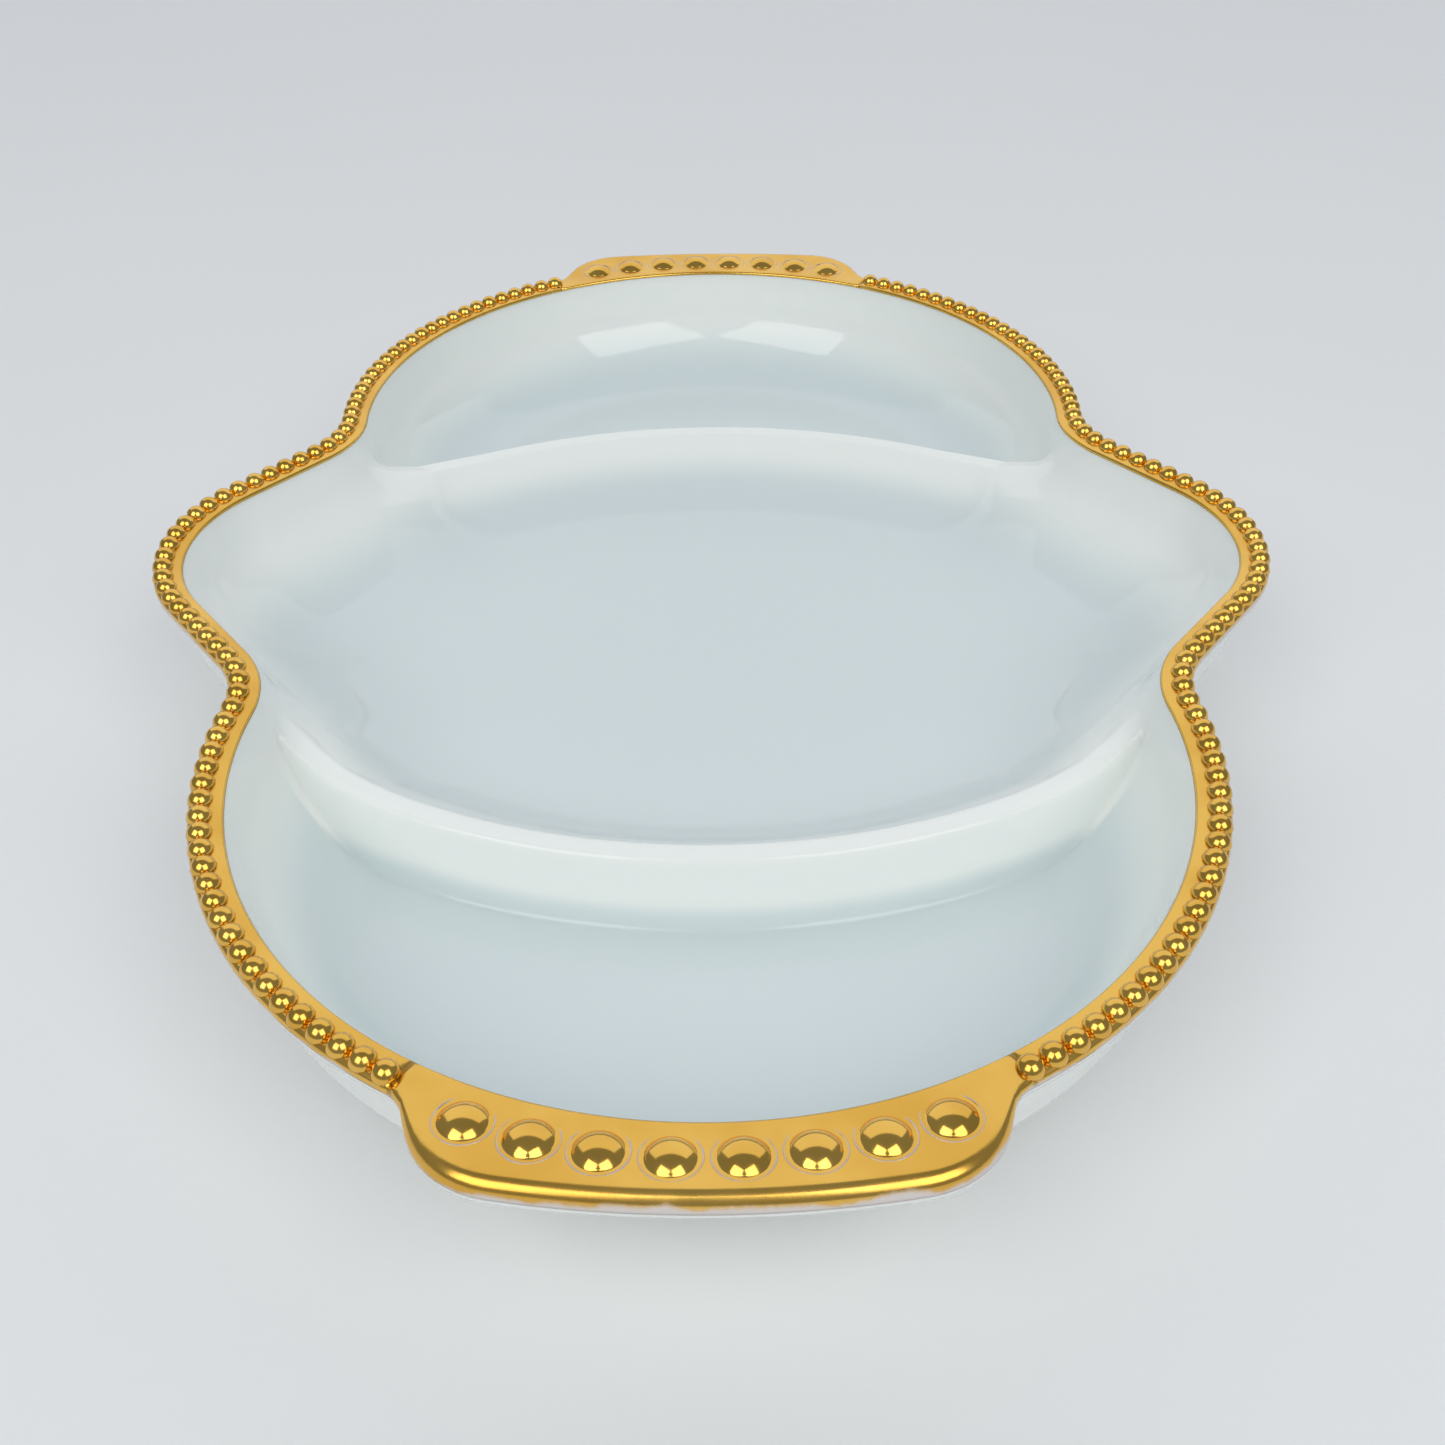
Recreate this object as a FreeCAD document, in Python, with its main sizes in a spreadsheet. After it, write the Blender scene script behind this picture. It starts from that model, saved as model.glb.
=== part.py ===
"""Divided serving dish: one opal glass pressing with a gilded, beaded rim.

Frame: millimetres, +Z up, long axis along Y, width along X.  The origin is on
the ground under the middle of the dish, which stands on its foot at z = 0.
"""
import FreeCAD
import Part
import Sketcher
import math
import os

Vector = FreeCAD.Vector

# Driving dimensions, in millimetres and degrees.
SIZES = {
    # whole dish
    "overall_length": 278.0,
    "overall_width": 197.0,
    "overall_height": 31.75,
    # plan of the mouth, at the inner edge of the gilding; the end breadth is the
    # radius of the end arcs as a share of the mouth's half width
    "nose_radius": 28.7,
    "flank_angle": 38.7,
    "hollow_radius": 23.0,
    "end_breadth": 0.7564,
    # rim
    "rim_band": 4.9,
    "rim_depth": 3.0,
    # bead row
    "bead_base": 3.4,
    "bead_rise": 1.95,
    "bead_pitch": 3.72,
    "bead_line": 3.1,
    # end tabs
    "tab_depth": 11.4,
    "tab_flat_half": 24.3,
    "tab_corner_radius": 13.0,
    "tab_root_radius": 5.0,
    "tab_side_angle": 75.0,
    "tab_crown": 2.0,
    "tab_slope": 5.5,
    "tab_rise": 3.0,
    "boss_base": 6.2,
    "boss_rise": 1.4,
    "boss_pitch": 8.1,
    "boss_line": 5.1,
    "boss_count": 8,
    # gilding
    "gilding_thickness": 0.2,
    "gilding_edge": 0.1,
    # cavity and walls
    "floor_level": 5.5,
    "wall_draft": 11.0,
    "bowl_draft": 45.0,
    "shoulder_round": 14.0,
    "floor_round": 14.0,
    "skirt_inset": 1.7,
    "skirt_draft": 14.0,
    "belly_level": 13.0,
    "belly_draft": 46.0,
    "belly_round": 8.0,
    "foot_height": 1.5,
    "foot_width": 4.0,
    "foot_inset": 2.0,
    # dividers
    "divider_drop": 12.4,
    "divider_bow": 67.0,
    "divider_width": 3.2,
    "divider_bow_radius": 104.0,
    "divider_run_in": 18.0,
    "divider_draft": 14.0,
    "divider_top_round": 0.7,
    "divider_foot_round": 1.4,
    # how far cutting shapes reach past what they cut
    "clearance": 1.0,
}

document = FreeCAD.newDocument("divided_dish")
sheet = document.addObject("Spreadsheet::Sheet", "Sizes")
for row, (name, value) in enumerate(SIZES.items(), start=1):
    sheet.set("A%d" % row, name)
    sheet.set("B%d" % row, repr(value))
    sheet.setAlias("B%d" % row, name)
document.recompute()


def size(name):
    """A driving dimension as the sheet holds it."""
    return float(getattr(sheet, name))


# Sizes that follow from the driving ones, each with the expression that ties it
# to the sheet.
RIM_LEVEL = "(Sizes.overall_height - Sizes.bead_rise - Sizes.gilding_thickness)"
NOSE_REACH = "(Sizes.overall_width / 2 - Sizes.rim_band)"
TAB_REACH = "(Sizes.overall_length / 2)"
END_RADIUS = "(%s * Sizes.end_breadth)" % NOSE_REACH
END_CENTRE = "(%s - Sizes.tab_depth - %s)" % (TAB_REACH, END_RADIUS)
RIDGE_LEVEL = "(%s - Sizes.divider_drop)" % RIM_LEVEL
SKIRT_RISE = "(%s - Sizes.rim_depth - Sizes.belly_level)" % RIM_LEVEL
SKIRT_TOP = "(Sizes.rim_band - Sizes.skirt_inset)"
SKIRT_FOOT = "(%s - %s * tan(Sizes.skirt_draft * 1 deg))" % (SKIRT_TOP, SKIRT_RISE)
BELLY_RISE = "(Sizes.belly_level - Sizes.foot_height)"
BELLY_FOOT = "(%s - %s * tan(Sizes.belly_draft * 1 deg))" % (SKIRT_FOOT, BELLY_RISE)
FOOT_OUTSIDE = "(%s - Sizes.foot_inset)" % BELLY_FOOT
FOOT_INSIDE = "(%s - Sizes.foot_width)" % FOOT_OUTSIDE
BOWL_EDGE = "(-Sizes.divider_drop * tan(Sizes.wall_draft * 1 deg))"
DIVIDER_RISE = "(%s - Sizes.floor_level)" % RIDGE_LEVEL
DIVIDER_FLARE = "(%s * tan(Sizes.divider_draft * 1 deg))" % DIVIDER_RISE
DIVIDER_CENTRE = "(Sizes.divider_bow_radius - Sizes.divider_bow)"
DIVIDER_INSIDE = "(Sizes.divider_bow_radius - %s)" % DIVIDER_FLARE
DIVIDER_OUTSIDE = "(Sizes.divider_bow_radius + Sizes.divider_width + %s)" % DIVIDER_FLARE
DIVIDER_HALF_SPAN = "(Sizes.overall_width / 2 - Sizes.divider_run_in)"
RIM_FOOT = "(%s - Sizes.rim_depth)" % RIM_LEVEL
OVER_TAB = "(Sizes.tab_rise + Sizes.clearance)"

SAME_PLACE = 0.01
SMALLEST_CUT = 0.01


def value(expression):
    """The number that an expression on the sheet gives."""
    words = expression.replace("Sizes.", "")
    return float(sheet.evalExpression(words)) if not words.isidentifier() else size(words)


def new_body(name):
    """A body for one sub-part; its label names the node."""
    body = document.addObject("PartDesign::Body", name)
    body.Label = name
    return body


def plane(body, role):
    """An origin plane of a body, found by its role."""
    return next(item for item in body.Origin.OriginFeatures if item.Role == role)


def new_sketch(body, name, role, lift=None):
    """A sketch on an origin plane, lifted along the plane's normal."""
    sketch = body.newObject("Sketcher::SketchObject", name)
    sketch.AttachmentSupport = [(plane(body, role), "")]
    sketch.MapMode = "FlatFace"
    if lift:
        sketch.setExpression("AttachmentOffset.Base.z", lift)
    document.recompute()
    return sketch


def bind(sketch, kind, parts, expression):
    """Adds a dimension to a sketch and ties it to the sheet."""
    number = value(expression)
    if kind == "Angle":
        number = math.radians(number)
        expression = "(%s) * 1 deg" % expression
    index = sketch.addConstraint(Sketcher.Constraint(kind, *parts, number))
    sketch.setExpression("Constraints[%d]" % index, expression)
    return index


def arc(centre, radius, start, end):
    """A circle arc in the sketch plane, anticlockwise, angles in radians."""
    circle = Part.Circle(Vector(centre[0], centre[1], 0), Vector(0, 0, 1), radius)
    return Part.ArcOfCircle(circle, start, end)


def lobed_layout(offset):
    """Centres and tangent points of the lobed outline in the first quadrant.

    A nose on the X axis, a straight flank, a hollow curving the other way and
    a wide arc round the end, all tangent; an offset moves every arc parallel.
    """
    nose_radius = size("nose_radius") + offset
    hollow_radius = size("hollow_radius") - offset
    end_radius = value(END_RADIUS) + offset
    nose = Vector(value(NOSE_REACH) - size("nose_radius"), 0, 0)
    end = Vector(0, value(END_CENTRE), 0)
    lean = math.radians(size("flank_angle"))
    outward = Vector(math.cos(lean), math.sin(lean), 0)
    along = Vector(-math.sin(lean), math.cos(lean), 0)
    reach = nose + outward * (nose_radius + hollow_radius)
    gap = reach - end
    half = gap.dot(along)
    root = half * half - gap.dot(gap) + (end_radius + hollow_radius) ** 2
    hollow = reach + along * (-half - math.sqrt(root))
    if hollow.y < 0:
        hollow = reach + along * (-half + math.sqrt(root))
    return nose, end, hollow, nose_radius, hollow_radius, end_radius, outward


def add_lobed_outline(sketch, expression):
    """Draws the closed lobed outline, moved outward by a sheet expression."""
    nose, end, hollow, nose_radius, hollow_radius, end_radius, outward = lobed_layout(
        value(expression)
    )
    lean = math.atan2(outward.y, outward.x)
    turn = math.atan2(hollow.y - end.y, hollow.x - end.x)
    flank_top = hollow - outward * hollow_radius
    flank_foot = nose + outward * nose_radius
    first = sketch.GeometryCount
    for side in (0, math.pi):
        centre = (nose.x * math.cos(side), 0)
        sketch.addGeometry(arc(centre, nose_radius, side - lean, side + lean), False)
    for side in (1, -1):
        start = turn if side > 0 else -math.pi + turn
        finish = math.pi - turn if side > 0 else -turn
        sketch.addGeometry(arc((0, side * end.y), end_radius, start, finish), False)
    quadrants = ((1, 1), (-1, 1), (-1, -1), (1, -1))
    for east, north in quadrants:
        begin = Vector(east * flank_foot.x, north * flank_foot.y, 0)
        finish = Vector(east * flank_top.x, north * flank_top.y, 0)
        sketch.addGeometry(Part.LineSegment(begin, finish), False)
    for east, north in quadrants:
        to_end = math.atan2(north * (end.y - hollow.y), -east * hollow.x)
        to_flank = math.atan2(-north * outward.y, -east * outward.x)
        ends = (to_end, to_flank) if east * north > 0 else (to_flank, to_end)
        centre = (east * hollow.x, north * hollow.y)
        finish = ends[1] if ends[1] > ends[0] else ends[1] + 2 * math.pi
        sketch.addGeometry(arc(centre, hollow_radius, ends[0], finish), False)
    join_tangent(sketch, range(first, first + 12))
    noses = (first, first + 1)
    ends = (first + 2, first + 3)
    for index in noses:
        sketch.addConstraint(Sketcher.Constraint("PointOnObject", index, 3, -1))
        bind(sketch, "Radius", (index,), "Sizes.nose_radius + %s" % expression)
    for index in ends:
        sketch.addConstraint(Sketcher.Constraint("PointOnObject", index, 3, -2))
        bind(sketch, "Radius", (index,), "%s + %s" % (END_RADIUS, expression))
    nose_place = "%s - Sizes.nose_radius" % NOSE_REACH
    bind(sketch, "DistanceX", (-1, 1, noses[0], 3), nose_place)
    bind(sketch, "DistanceX", (noses[1], 3, -1, 1), nose_place)
    bind(sketch, "DistanceY", (-1, 1, ends[0], 3), END_CENTRE)
    bind(sketch, "DistanceY", (ends[1], 3, -1, 1), END_CENTRE)
    bearings = ("90 + Sizes.flank_angle", "90 - Sizes.flank_angle")
    bearings += ("Sizes.flank_angle - 90", "-90 - Sizes.flank_angle")
    for step, bearing in enumerate(bearings):
        bind(sketch, "Angle", (first + 4 + step,), bearing)
        bind(sketch, "Radius", (first + 8 + step,), "Sizes.hollow_radius - %s" % expression)


def join_ends(sketch, indices):
    """Makes touching ends of the listed lines and arcs coincide."""
    for one, one_end, other, other_end in touching_ends(sketch, indices):
        join = Sketcher.Constraint("Coincident", one, one_end, other, other_end)
        sketch.addConstraint(join)


def join_tangent(sketch, indices):
    """Makes touching ends of the listed lines and arcs tangent to each other."""
    for one, one_end, other, other_end in touching_ends(sketch, indices):
        join = Sketcher.Constraint("Tangent", one, one_end, other, other_end)
        sketch.addConstraint(join)


def touching_ends(sketch, indices):
    """Pairs of ends of different edges that lie on each other."""
    ends = []
    pairs = []
    for index in indices:
        ends.append((index, 1, sketch.getPoint(index, 1)))
        ends.append((index, 2, sketch.getPoint(index, 2)))
    for here, (one, one_end, point) in enumerate(ends):
        for other, other_end, place in ends[here + 1:]:
            if one != other and point.distanceToPoint(place) < SAME_PLACE:
                pairs.append((one, one_end, other, other_end))
    return pairs


def add_divider_outline(sketch, end):
    """One divider at floor level: two concentric arcs running out past the walls."""
    inner = value(DIVIDER_INSIDE)
    outer = value(DIVIDER_OUTSIDE)
    middle = -end * value(DIVIDER_CENTRE)
    half = value(DIVIDER_HALF_SPAN)
    first = sketch.GeometryCount
    quarter = end * math.pi / 2
    spread = [math.asin(half / radius) for radius in (inner, outer)]
    for radius, turn in zip((inner, outer), spread):
        sketch.addGeometry(arc((0, middle), radius, quarter - turn, quarter + turn), False)
    for side in (1, -1):
        near = Vector(side * half, middle + end * inner * math.cos(spread[0]), 0)
        far = Vector(side * half, middle + end * outer * math.cos(spread[1]), 0)
        sketch.addGeometry(Part.LineSegment(near, far), False)
    ends = (1, 2) if end < 0 else (2, 1)
    for line, tip in ((first + 2, ends[1]), (first + 3, ends[0])):
        sketch.addConstraint(Sketcher.Constraint("Coincident", line, 1, first, tip))
        sketch.addConstraint(Sketcher.Constraint("Coincident", line, 2, first + 1, tip))
        sketch.addConstraint(Sketcher.Constraint("Vertical", line))
    sketch.addConstraint(Sketcher.Constraint("Coincident", first, 3, first + 1, 3))
    sketch.addConstraint(Sketcher.Constraint("PointOnObject", first, 3, -2))
    drop = (first, 3, -1, 1) if end > 0 else (-1, 1, first, 3)
    bind(sketch, "DistanceY", drop, DIVIDER_CENTRE)
    bind(sketch, "Radius", (first,), DIVIDER_INSIDE)
    bind(sketch, "Radius", (first + 1,), DIVIDER_OUTSIDE)
    bind(sketch, "DistanceX", (-1, 1, first + 2, 1), DIVIDER_HALF_SPAN)
    bind(sketch, "DistanceX", (first + 3, 1, -1, 1), DIVIDER_HALF_SPAN)


def tab_layout(inset):
    """Centres, radii and joints of a tab's right half, for the tab towards +Y.

    A crowned front edge, a rounded corner, a steep side and a root that
    flares into the rim's outer edge.
    """
    half = size("tab_flat_half")
    crown = size("tab_crown")
    crown_radius = (half * half + crown * crown) / (2 * crown)
    corner_radius = size("tab_corner_radius")
    root_radius = size("tab_root_radius")
    steep = math.radians(size("tab_side_angle"))
    crown_centre = Vector(0, value(TAB_REACH) - crown_radius, 0)
    shoulder = Vector(half, value(TAB_REACH) - crown, 0)
    corner_centre = shoulder + (crown_centre - shoulder) * (corner_radius / crown_radius)
    outward = Vector(math.sin(steep), math.cos(steep), 0)
    along = Vector(math.cos(steep), -math.sin(steep), 0)
    rim_radius = value(END_RADIUS) + size("rim_band")
    rim_centre = Vector(0, value(END_CENTRE), 0)
    reach = corner_centre + outward * (corner_radius + root_radius) - rim_centre
    lean = reach.dot(along)
    root = lean * lean - reach.dot(reach) + (rim_radius + root_radius) ** 2
    slide = max(0.0, -lean - math.sqrt(root))
    root_centre = rim_centre + reach + along * slide
    grip = rim_centre + (root_centre - rim_centre) * (rim_radius / (rim_radius + root_radius))
    crowned = (crown_centre, crown_radius - inset)
    corner = (corner_centre, corner_radius - inset)
    flare = (root_centre, root_radius + inset)
    return crowned, corner, flare, outward, grip


def tab_outline(inset, end):
    """Edges round one tab in plan, closed along two radii of the end arc."""
    crowned, corner, flare, outward, grip = tab_layout(inset)
    to_corner = (corner[0] - crowned[0]).normalize()
    top = crowned[0] + to_corner * crowned[1]
    side_top = corner[0] + outward * corner[1]
    side_foot = flare[0] - outward * flare[1]
    middle = (to_corner + outward).normalize()
    corner_middle = corner[0] + middle * corner[1]
    to_grip = (grip - flare[0]).normalize()
    foot = flare[0] + to_grip * flare[1]
    flare_middle = flare[0] + (to_grip - outward).normalize() * flare[1]
    right = [top, corner_middle, side_top, side_foot, flare_middle, foot]
    right = [Vector(point.x, end * point.y, 0) for point in right]
    left = [Vector(-point.x, point.y, 0) for point in right]
    crest = Vector(0, end * (crowned[0].y + crowned[1]), 0)
    edges = [Part.Arc(left[0], crest, right[0])]
    for side in (right, left):
        edges.append(Part.Arc(side[0], side[1], side[2]))
        edges.append(Part.LineSegment(side[2], side[3]))
        edges.append(Part.Arc(side[3], side[4], side[5]))
    centre = Vector(0, end * value(END_CENTRE), 0)
    edges.append(Part.LineSegment(right[5], centre))
    edges.append(Part.LineSegment(centre, left[5]))
    return edges


def add_tab_outline(sketch, end, inset="0"):
    """Draws one tab and ties its corners and roots to the sheet."""
    first = sketch.GeometryCount
    for edge in tab_outline(value(inset), end):
        sketch.addGeometry(edge, False)
    join_ends(sketch, range(first, first + 9))
    for index in (first + 1, first + 4):
        bind(sketch, "Radius", (index,), "Sizes.tab_corner_radius - %s" % inset)
    for index in (first + 3, first + 6):
        bind(sketch, "Radius", (index,), "Sizes.tab_root_radius + %s" % inset)


def add_pad(body, name, sketch, length, draft=None, down=False):
    """Pads a sketch; a draft widens the pad as it leaves the sketch."""
    pad = body.newObject("PartDesign::Pad", name)
    pad.Profile = sketch
    pad.Reversed = down
    pad.setExpression("Length", length)
    if draft:
        pad.setExpression("TaperAngle", draft)
    document.recompute()
    return pad


def add_pocket(body, name, sketch, depth, draft=None, up=False):
    """Cuts a sketch downwards, or upwards, and checks that material went."""
    before = body.Shape.Volume
    pocket = body.newObject("PartDesign::Pocket", name)
    pocket.Profile = sketch
    pocket.Reversed = up
    pocket.setExpression("Length", depth)
    if draft:
        pocket.setExpression("TaperAngle", draft)
    document.recompute()
    if pocket.Shape.Volume > before - SMALLEST_CUT:
        raise RuntimeError(name + " cuts nothing")
    return pocket


def add_cone_cut(body, name, end, low, high):
    """Shaves a tab to the cone that rises outwards from the mouth's edge.

    The cut is turned about the upright through the end arc's centre, between
    two lines at the given heights over that cone at the mouth.
    """
    sketch = body.newObject("Sketcher::SketchObject", name + "_profile")
    sketch.AttachmentSupport = [(plane(body, "YZ_Plane"), "")]
    sketch.MapMode = "FlatFace"
    sketch.setExpression("AttachmentOffset.Base.x", "%d * %s" % (end, END_CENTRE))
    sketch.setExpression("AttachmentOffset.Base.y", RIM_LEVEL)
    near = end * value(END_RADIUS)
    far = end * (value(END_RADIUS) + 2 * size("tab_depth"))
    climb = abs(far - near) * math.tan(math.radians(size("tab_slope")))
    heights = (value(low), value(low) + climb, value(high) + climb, value(high))
    corners = [Vector(x, y, 0) for x, y in zip((near, far, far, near), heights)]
    for here in range(4):
        sketch.addGeometry(Part.LineSegment(corners[here], corners[(here + 1) % 4]), False)
    join_ends(sketch, range(4))
    document.recompute()
    before = body.Shape.Volume
    groove = body.newObject("PartDesign::Groove", name)
    groove.Profile = sketch
    groove.ReferenceAxis = (sketch, ["V_Axis"])
    groove.Angle = 360
    document.recompute()
    if groove.Shape.Volume > before - SMALLEST_CUT:
        raise RuntimeError(name + " cuts nothing")
    return groove


def level_edges(shape, level, chosen=lambda edge: True):
    """Names of the edges that lie flat at a height and pass a test."""
    names = []
    for index, edge in enumerate(shape.Edges, start=1):
        box = edge.BoundBox
        flat = abs(box.ZMin - level) < SAME_PLACE and abs(box.ZMax - level) < SAME_PLACE
        if flat and chosen(edge):
            names.append("Edge%d" % index)
    return names


def is_along_divider(edge):
    """Whether an edge is an arc about one of the two divider centres."""
    if edge.Curve.TypeId != "Part::GeomCircle":
        return False
    centre = edge.Curve.Center
    off = abs(abs(centre.y) - value(DIVIDER_CENTRE))
    return abs(centre.x) < SAME_PLACE and off < SAME_PLACE


def add_fillet(body, name, edges, radius):
    """Rounds named edges of the body's last feature."""
    base = body.Tip
    fillet = body.newObject("PartDesign::Fillet", name)
    fillet.Base = (base, edges)
    fillet.setExpression("Radius", radius)
    document.recompute()
    if fillet.Shape.isNull() or not fillet.Shape.isValid():
        raise RuntimeError(name + " did not build")
    return fillet


def build_blank():
    """The outside of the pressing, still solid: foot, belly, skirt, rim, tabs."""
    body = new_body("blank")
    belly = new_sketch(body, "belly_outline", "XY_Plane", "Sizes.foot_height")
    add_lobed_outline(belly, BELLY_FOOT)
    add_pad(body, "belly", belly, BELLY_RISE, "Sizes.belly_draft")
    skirt = new_sketch(body, "skirt_outline", "XY_Plane", "Sizes.belly_level")
    add_lobed_outline(skirt, SKIRT_FOOT)
    add_pad(body, "skirt", skirt, SKIRT_RISE, "Sizes.skirt_draft")
    belt = level_edges(body.Shape, size("belly_level"))
    add_fillet(body, "belly_rounding", belt, "Sizes.belly_round")
    rim = new_sketch(body, "rim_outline", "XY_Plane", RIM_FOOT)
    add_lobed_outline(rim, "Sizes.rim_band")
    add_pad(body, "rim", rim, "Sizes.rim_depth")
    foot = new_sketch(body, "foot_outline", "XY_Plane")
    add_lobed_outline(foot, FOOT_OUTSIDE)
    add_lobed_outline(foot, FOOT_INSIDE)
    add_pad(body, "foot", foot, "Sizes.foot_height")
    tabs = new_sketch(body, "tab_outline", "XY_Plane", RIM_FOOT)
    for end in (1, -1):
        add_tab_outline(tabs, end)
    add_pad(body, "tabs", tabs, "Sizes.rim_depth + Sizes.tab_rise")
    for end in (1, -1):
        add_cone_cut(body, "tab_top", end, "0", OVER_TAB)
    return body


def build_plunger():
    """The inside of the pressing as a solid: cavity walls with divider grooves."""
    body = new_body("plunger")
    mouth = new_sketch(body, "mouth_outline", "XY_Plane", RIM_LEVEL)
    add_lobed_outline(mouth, "0")
    add_pad(body, "mouth_clearance", mouth, OVER_TAB)
    add_pad(body, "mouth", mouth, "Sizes.divider_drop", "-Sizes.wall_draft", down=True)
    bowl = new_sketch(body, "bowl_outline", "XY_Plane", RIDGE_LEVEL)
    add_lobed_outline(bowl, BOWL_EDGE)
    add_pad(body, "bowl", bowl, DIVIDER_RISE, "-Sizes.bowl_draft", down=True)
    floor = level_edges(body.Shape, size("floor_level"))
    add_fillet(body, "floor_rounding", floor, "Sizes.floor_round")
    shoulder = level_edges(body.Shape, value(RIDGE_LEVEL))
    add_fillet(body, "shoulder_rounding", shoulder, "Sizes.shoulder_round")
    grooves = new_sketch(body, "divider_outline", "XY_Plane", "Sizes.floor_level")
    for end in (1, -1):
        add_divider_outline(grooves, end)
    add_pocket(body, "dividers", grooves, DIVIDER_RISE, "-Sizes.divider_draft", up=True)
    ridges = level_edges(body.Shape, value(RIDGE_LEVEL), is_along_divider)
    add_fillet(body, "ridge_rounding", ridges, "Sizes.divider_top_round")
    feet = level_edges(body.Shape, size("floor_level"), is_along_divider)
    add_fillet(body, "divider_foot_rounding", feet, "Sizes.divider_foot_round")
    return body


def build_dish():
    """The glass pressing: the blank with the plunger pressed out of it."""
    dish = document.addObject("Part::Cut", "glass_dish")
    dish.Base = build_blank()
    dish.Tool = build_plunger()
    dish.Label = "glass_dish"
    document.recompute()
    return dish


def build_rim_gilding(name, side):
    """The skin of fired gold on one side's rim, from tab to tab."""
    body = new_body(name)
    band = new_sketch(body, name + "_band", "XY_Plane", RIM_LEVEL)
    add_lobed_outline(band, "(Sizes.rim_band - Sizes.gilding_edge)")
    add_lobed_outline(band, "0")
    add_pad(body, name + "_skin", band, "Sizes.gilding_thickness")
    grip = tab_layout(0)[4]
    centre = Vector(0, value(END_CENTRE), 0)
    past = centre + (grip - centre) * 2
    edge = size("overall_length")
    upper = [centre, Vector(side * past.x, past.y, 0), Vector(side * past.x, edge, 0)]
    upper.append(Vector(-side * edge, edge, 0))
    lower = [Vector(point.x, -point.y, 0) for point in reversed(upper)]
    corners = upper + lower
    rest = new_sketch(body, name + "_rest", "XY_Plane", "Sizes.overall_height")
    for here, corner in enumerate(corners):
        following = corners[(here + 1) % len(corners)]
        rest.addGeometry(Part.LineSegment(corner, following), False)
    join_ends(rest, range(len(corners)))
    document.recompute()
    add_pocket(body, name + "_other_side", rest, "Sizes.overall_height")
    return body


def build_tab_gilding(name, end):
    """The skin of fired gold on the sloping top of one tab."""
    body = new_body(name)
    tab = new_sketch(body, name + "_outline", "XY_Plane", RIM_FOOT)
    add_tab_outline(tab, end, "Sizes.gilding_edge")
    add_pad(body, name + "_block", tab, "Sizes.rim_depth + Sizes.tab_rise")
    mouth = new_sketch(body, name + "_mouth", "XY_Plane", "2 * Sizes.overall_height")
    add_lobed_outline(mouth, "0")
    add_pocket(body, name + "_inside", mouth, "2 * Sizes.overall_height")
    thick = "Sizes.gilding_thickness"
    add_cone_cut(body, name + "_over", end, thick, OVER_TAB)
    add_cone_cut(body, name + "_under", end, "-2 * Sizes.rim_depth", "0")
    return body


def dome(base, rise, place, normal):
    """A spherical cap standing on its base circle at a place, along a normal."""
    radius = (base * base / 4 + rise * rise) / (2 * rise)
    below = radius - rise
    foot_angle = math.degrees(math.asin(below / radius))
    centre = place - normal * below
    return Part.makeSphere(radius, centre, normal, foot_angle, 90, 360)


def bead_places(offset, pitch):
    """Evenly spaced points along one side's rim, from tab root to tab root."""
    nose, end, hollow, nose_radius, hollow_radius, end_radius, outward = lobed_layout(offset)
    lean = math.atan2(outward.y, outward.x)
    turn = math.atan2(hollow.y - end.y, hollow.x - end.x)
    grip = tab_layout(0)[4]
    first = math.atan2(grip.y - end.y, grip.x) - size("bead_base") / 2 / end_radius
    inward = math.atan2(-outward.y, -outward.x) + 2 * math.pi
    hollow_start = inward
    hollow_end = turn + math.pi
    flank_foot = nose + outward * nose_radius
    flank_top = hollow - outward * hollow_radius
    stretches = [
        (nose_radius * lean, lambda part: nose + polar(nose_radius, lean * part)),
        ((flank_top - flank_foot).Length, lambda part: flank_foot + (flank_top - flank_foot) * part),
        (
            hollow_radius * (hollow_start - hollow_end),
            lambda part: hollow
            + polar(hollow_radius, hollow_start + (hollow_end - hollow_start) * part),
        ),
        (end_radius * (first - turn), lambda part: end + polar(end_radius, turn + (first - turn) * part)),
    ]
    quarter = sum(length for length, place in stretches)
    count = int(round(quarter / pitch))
    places = []
    for number in range(count + 1):
        way = quarter * number / count
        for length, place in stretches:
            if way <= length + SAME_PLACE:
                places.append(place(way / length))
                break
            way -= length
    return places + [Vector(point.x, -point.y, 0) for point in places[1:]]


def polar(radius, angle):
    """A point in the plan by its radius and its angle in radians."""
    return Vector(radius * math.cos(angle), radius * math.sin(angle), 0)


def build_group(name, solids):
    """A sub-part made of like pieces, each a solid of its own."""
    group = document.addObject("Part::Feature", name)
    group.Shape = Part.makeCompound(solids)
    group.Placement = FreeCAD.Placement()
    group.Label = name
    return group


def build_beads(name, side):
    """The row of gilded beads along one side of the rim."""
    level = value(RIM_LEVEL) + size("gilding_thickness")
    beads = []
    for place in bead_places(size("bead_line"), size("bead_pitch")):
        foot = Vector(side * place.x, place.y, level)
        beads.append(dome(size("bead_base"), size("bead_rise"), foot, Vector(0, 0, 1)))
    return build_group(name, beads)


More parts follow.
